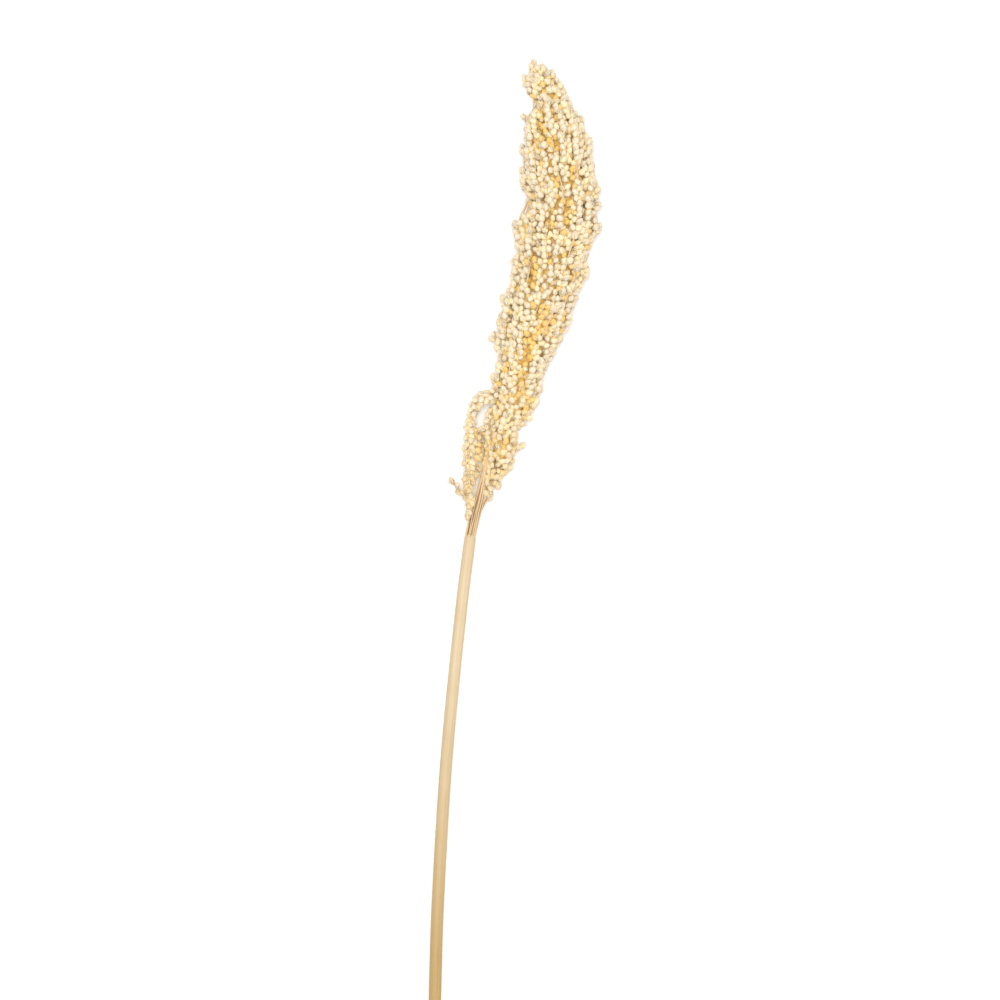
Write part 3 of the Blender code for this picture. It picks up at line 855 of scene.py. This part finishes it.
class SORGHUM_OT_head(bpy.types.Operator):
    """Builds the head: its grains, the stems of its sprays and its inner core."""

    bl_idname = "sorghum.build_head"
    bl_label = "Build Head"

    def execute(self, context):
        look = context.scene.sorghum_head
        head = Head()
        self.rachis = Line(RACHIS_LINE)
        bed = GrainBed(head, look.grain_apart, 7)
        stems = Heap()
        self.outer_sprays(bed, look, stems)
        for number, middle in enumerate(head.even_shares(look.sprays)):
            self.climbing_spray(bed, look, middle, number * GOLDEN_ANGLE, stems)
        self.fill(bed)
        make_grain_pieces(bed, look, bleached_grain(look))
        self.twigs(bed, stems)
        straw_look = context.scene.sorghum_stalk
        # The stems and twigs take the inner colour near their roots: painted shade inside the head.
        inner = straw("inner_straw", ((0.0, straw_look.inner), (0.04, straw_look.branch)), 3.0)
        stem_piece = stems.piece("spray_stems", inner)
        # The core takes the ochre of the grains' painted shade.
        core_piece = self.core(head, straw("core_straw", ((0.0, look.shade_ochre), (0.08, look.shade_ochre)), 3.0))
        for piece in (stem_piece, core_piece):
            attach(piece, "root")
            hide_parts("seed_head")
        stops = ((0.0, straw_look.branch), (0.06, straw_look.branch))
        bare = straw("bare_branch_straw", stops, 3.0, straw_look.inner)
        branch_piece = self.foot_branches(bed.draw, self.rachis).piece("foot_branches", bare)
        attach(branch_piece, "root")
        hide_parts("stalk")
        return {"FINISHED"}

    def outer_sprays(self, bed, look, stems):
        lobes = [[(x, y, bed.head.height_at(y)) for x, y in points] for points in LOBES]
        tip = [bed.head.line.place(s) for s in (0.90, 0.94, 0.97, 1.0)]
        for points in (*OUTER_SPRAYS, *lobes, tip, *SHADED_SPRAYS):
            line = Line(points)
            ring = look.spray_radius if line.length < ARCH_LENGTH else ARCH_RADIUS
            axis = line.places(0.0, 1.0, max(6, int(line.length / 0.002)))
            t = np.linspace(0, 1, len(axis))
            share = float(np.interp(axis[0][1], (HEAD_LINE[0][1], HEAD_LINE[-1][1]), (0.0, 1.0)))
            inner = FURROW_SHADE if points in SHADED_SPRAYS else 0.0
            bed.clothe(Spray(axis, ring * (1 - 0.3 * t), share), inner, furrowed=False)
            add_tube(stems, axis, STEM_RADIUS * 1.3, 6)

    def climbing_spray(self, bed, look, middle, turn, stems):
        head = bed.head
        draw = bed.draw
        reach = SPRAY_LENGTH * draw.uniform(*LENGTH_SPREAD) / head.line.length
        first = max(middle - reach * 0.5, SPRAY_ENDS[0])
        last = min(middle + reach * 0.5, SPRAY_ENDS[1])
        full = draw.uniform(*FULL_SPREAD)
        drift = draw.uniform(-0.25, 0.25)
        turn += draw.uniform(-0.20, 0.20)
        axis, outwards, rings = [], [], []
        shares = np.linspace(first, last, SPRAY_STEPS + 1)
        for t, share in zip(np.linspace(0, 1, SPRAY_STEPS + 1), shares):
            half = head.half(share)
            room = max(half - look.grain_radius, 0.0012)
            ring = min(look.spray_radius, 0.42 * room) * (1 - 0.5 * t**3)
            here = turn + drift * (t - 0.5)
            out = max(room - ring, 0.0006) / half
            climb = SPRAY_LOW + (SPRAY_HIGH - SPRAY_LOW) * math.sin(0.5 * math.pi * t)
            axis.append(head.place(share, here, out * full * climb))
            outwards.append(head.spokes(share, here))
            rings.append(ring)
        bed.clothe(Spray(axis, rings, shares, outwards))
        root = head.place(max(first - 0.06, 0.0), turn, 0.25)
        if first < 0.18:
            root = self.rachis.place(0.35 + first)
        path = Line([root, (root + axis[0]) / 2, *axis[::4]])
        add_tube(stems, path.places(0, 1, 18), STEM_RADIUS, 5)

    def foot_branches(self, draw, rachis):
        """The bare branches that leave the cane side by side and part in the head, ring round ring."""
        heap = Heap()
        main_stem = rachis.places(0.0, 1.0, 30)
        # The main stem, in the middle of the bundle, takes painted shade.
        add_tube(heap, main_stem, np.linspace(RACHIS_RADIUS, 0.0010, len(main_stem)), 12, inner=0.6)
        for count, full, radius, inner in BRANCH_RINGS:
            for number in range(count):
                turn = 2 * math.pi * (number + draw.uniform(-0.2, 0.2)) / count
                phase = draw.uniform(0, 2 * math.pi)
                path = []
                for share in np.linspace(BRANCH_ROOT, draw.uniform(0.55, 1.0), 30):
                    up_the_head = max(share, 0.0)
                    heading, right, up = rachis.sides(up_the_head)
                    sway = 0.12 * math.sin(12 * up_the_head + phase)
                    spread = full * np.interp(up_the_head, *BRANCH_SPREAD)
                    beside = math.cos(turn + sway) * right + math.sin(turn + sway) * up
                    path.append(rachis.place(up_the_head) + min(share, 0) * rachis.length * heading
                                + spread * beside)
                # Painted shade by how deep in the ring lies, with a random part that sets the strands
                # apart.
                shade = inner + draw.uniform(0.0, 0.3)
                add_tube(heap, np.array(path), radius * draw.uniform(0.8, 1.2), 8, inner=shade)
        # The parted branches take much painted shade.
        for points in PARTED_BRANCHES:
            add_tube(heap, Line(points).places(0.0, 1.0, 16), BRANCH_RINGS[0][2], 8, inner=0.9)
        return heap

    def fill(self, bed):
        """Grains a little further in, wherever the sprays leave the inside bare."""
        head = bed.head
        for _ in range(FILL_TRIES):
            share = bed.draw.uniform(0.05, 0.985)
            turn = bed.draw.uniform(0, 2 * math.pi)
            depth, shade = bed.draw.choice(FILL)
            half = head.half(share)
            out = depth * max(half - 0.002, 0.0008) / half
            place = head.place(share, turn, out)
            heading = head.line.sides(share)[0]
            pointing = unit(head.spokes(share, turn)) + 0.8 * heading + bed.jitter(0.4)
            if bed.in_furrow(place, FILL_MARGIN):
                shade = FURROW_SHADE
            bed.set_grain(place, pointing, share, head.place(share, turn, out * 0.85), shade)

    def twigs(self, bed, stems):
        """The little stalk of each grain, from its spray's stem."""
        for place, pointing, foot in zip(bed.places, bed.pointings, bed.feet):
            base = place - GRAIN_FOOT * pointing
            path = np.array((foot, (foot + base) / 2, base))
            if np.linalg.norm(base - foot) > SHORTEST_TWIG:
                add_tube(stems, path, TWIG_RADIUS, 3)

    def core(self, head, material):
        """The dense inside of the head, which closes the view between the grains."""
        heap = Heap()
        shares = np.linspace(*CORE_ENDS, CORE_RINGS)
        turns = all_round(CORE_SIDES)
        rings = []
        for number, share in enumerate(shares):
            for place, turn in enumerate(turns):
                lump = 0.04 * math.sin(5 * turn + 0.9 * number)
                lump += 0.03 * math.sin(9 * turn - 1.7 * number)
                half = head.half(share)
                out = CORE_SHARE * (1 + lump) * (half - CORE_INSET) / half
                rings.append(head.place(share, turn, out))
        ends = [head.line.place(shares[0]), head.line.place(shares[-1])]
        along = np.concatenate((np.repeat(shares * head.line.length, CORE_SIDES), [0.0, 0.0]))
        around = np.concatenate((np.tile(turns, CORE_RINGS), [0.0, 0.0]))
        triangles = grid_triangles(CORE_RINGS, CORE_SIDES)
        heap.add(np.vstack((rings, ends)), triangles, along=along, around=around)
        return heap.piece("head_core", material)


class SORGHUM_OT_stalk(bpy.types.Operator):
    """Builds the cane, with its fibres and its cut end."""

    bl_idname = "sorghum.build_stalk"
    bl_label = "Build Stalk"

    def execute(self, context):
        look = context.scene.sorghum_stalk
        heap = Heap()
        line = Line(STALK_LINE)
        path = line.places(0.0, 1.0, STALK_RINGS - 1)
        turns = all_round(STALK_SIDES)
        t = np.linspace(0, 1, STALK_RINGS)
        radii = STALK_RADIUS + (STALK_TOP_RADIUS - STALK_RADIUS) * t
        radii[-len(TOP_RADII):] *= TOP_RADII
        radii[:len(CUT_RADII)] *= CUT_RADII
        ribs = np.sin(look.fibres * turns + 2.0 * np.sin(3 * turns))
        wave = ribs + 0.6 * np.sin(11 * turns + 1.3) + 0.5 * np.sin(5 * turns)
        slow = 0.5 + 0.5 * np.sin(17 * t)[:, None] * np.sin(3 * turns)[None, :]
        out = radii[:, None] + look.fibre_height * wave[None, :] * (0.6 + 0.4 * slow)
        ends = (path[0] + CUT_DISH * unit(path[1] - path[0]), path[-1])
        add_rings(heap, rings_round(path, out, turns), ends, t * line.length, turns)
        stops = ((0.0, look.lower), (0.03, look.lower), (0.20, look.upper), (0.30, look.upper))
        piece = heap.piece("cane", straw("cane_straw", stops, 3.4))
        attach(piece, "root")
        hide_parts("stalk")
        return {"FINISHED"}


class SORGHUM_OT_stage(bpy.types.Operator):
    """Sets the floor, the soft lights and the camera that looks straight down."""

    bl_idname = "sorghum.build_stage"
    bl_label = "Build Stage"

    def execute(self, context):
        look = context.scene.sorghum_stage
        self.floor(look)
        self.lights(context.scene, look)
        self.camera(context.scene, look)
        return {"FINISHED"}

    def floor(self, look):
        bpy.ops.mesh.primitive_plane_add(size=6.0, location=(0, 0, 0))
        floor = bpy.context.object
        floor.name = "floor"

        def build(w):
            grain = w.noise(w.here(), 40.0, 2.0)
            w.finish(w.mix(w.span(grain, 0.3, 0.7, 0.0, 0.03), look.floor, (0.85, 0.85, 0.85)), 0.85)

        floor.data.materials.append(linked("floor_paper", build))

    def lights(self, scene, look):
        world = bpy.data.worlds.new("room")
        world.use_nodes = True
        background = world.node_tree.nodes["Background"]
        background.inputs["Color"].default_value = (1.0, 0.97, 0.93, 1.0)
        background.inputs["Strength"].default_value = look.sky
        scene.world = world
        for name, place, size, share in LIGHTS:
            light = bpy.data.lights.new(name, "AREA")
            light.shape = "DISK"
            light.size = size
            light.energy = share * look.key_power
            lamp = bpy.data.objects.new(name, light)
            lamp.location = place
            lamp.rotation_euler = aim(place, PICTURE_CENTRE)
            scene.collection.objects.link(lamp)
        scene.view_settings.view_transform = "Standard"
        scene.view_settings.look = "None"

    def camera(self, scene, look):
        lens = bpy.data.cameras.new("camera")
        lens.lens = look.lens
        lens.sensor_width = SENSOR_WIDTH
        camera = bpy.data.objects.new("camera", lens)
        away = PICTURE_WIDTH * look.lens / SENSOR_WIDTH
        camera.location = (PICTURE_CENTRE[0], PICTURE_CENTRE[1], PICTURE_CENTRE[2] + away)
        scene.collection.objects.link(camera)
        scene.camera = camera


def aim(place, target):
    """The rotation that turns a light at place to target."""
    return (Vector(target) - Vector(place)).to_track_quat("-Z", "Y").to_euler()


class SORGHUM_PT_panel(bpy.types.Panel):
    """Lists the sizes and colours, and the steps that build the head."""

    bl_label = "Dried Sorghum Head"
    bl_idname = "SORGHUM_PT_panel"
    bl_space_type = "VIEW_3D"
    bl_region_type = "UI"
    bl_category = "Sorghum"

    def draw(self, context):
        scene = context.scene
        for settings, step in (
            (scene.sorghum_stalk, SORGHUM_OT_stalk),
            (scene.sorghum_head, SORGHUM_OT_head),
            (scene.sorghum_stage, SORGHUM_OT_stage),
        ):
            box = self.layout.box()
            for name in settings.__annotations__:
                box.prop(settings, name)
            box.operator(step.bl_idname)


CLASSES = (
    SorghumHeadSettings,
    SorghumStalkSettings,
    SorghumStageSettings,
    SORGHUM_OT_stalk,
    SORGHUM_OT_head,
    SORGHUM_OT_stage,
    SORGHUM_PT_panel,
)


def register():
    for made in CLASSES:
        bpy.utils.register_class(made)
    bpy.types.Scene.sorghum_head = PointerProperty(type=SorghumHeadSettings)
    bpy.types.Scene.sorghum_stalk = PointerProperty(type=SorghumStalkSettings)
    bpy.types.Scene.sorghum_stage = PointerProperty(type=SorghumStageSettings)


def unregister():
    del bpy.types.Scene.sorghum_stage
    del bpy.types.Scene.sorghum_stalk
    del bpy.types.Scene.sorghum_head
    for made in reversed(CLASSES):
        bpy.utils.unregister_class(made)


def main():
    register()
    bpy.ops.sorghum.build_stage()
    bpy.ops.sorghum.build_stalk()
    bpy.ops.sorghum.build_head()


if __name__ == "__main__":
    main()
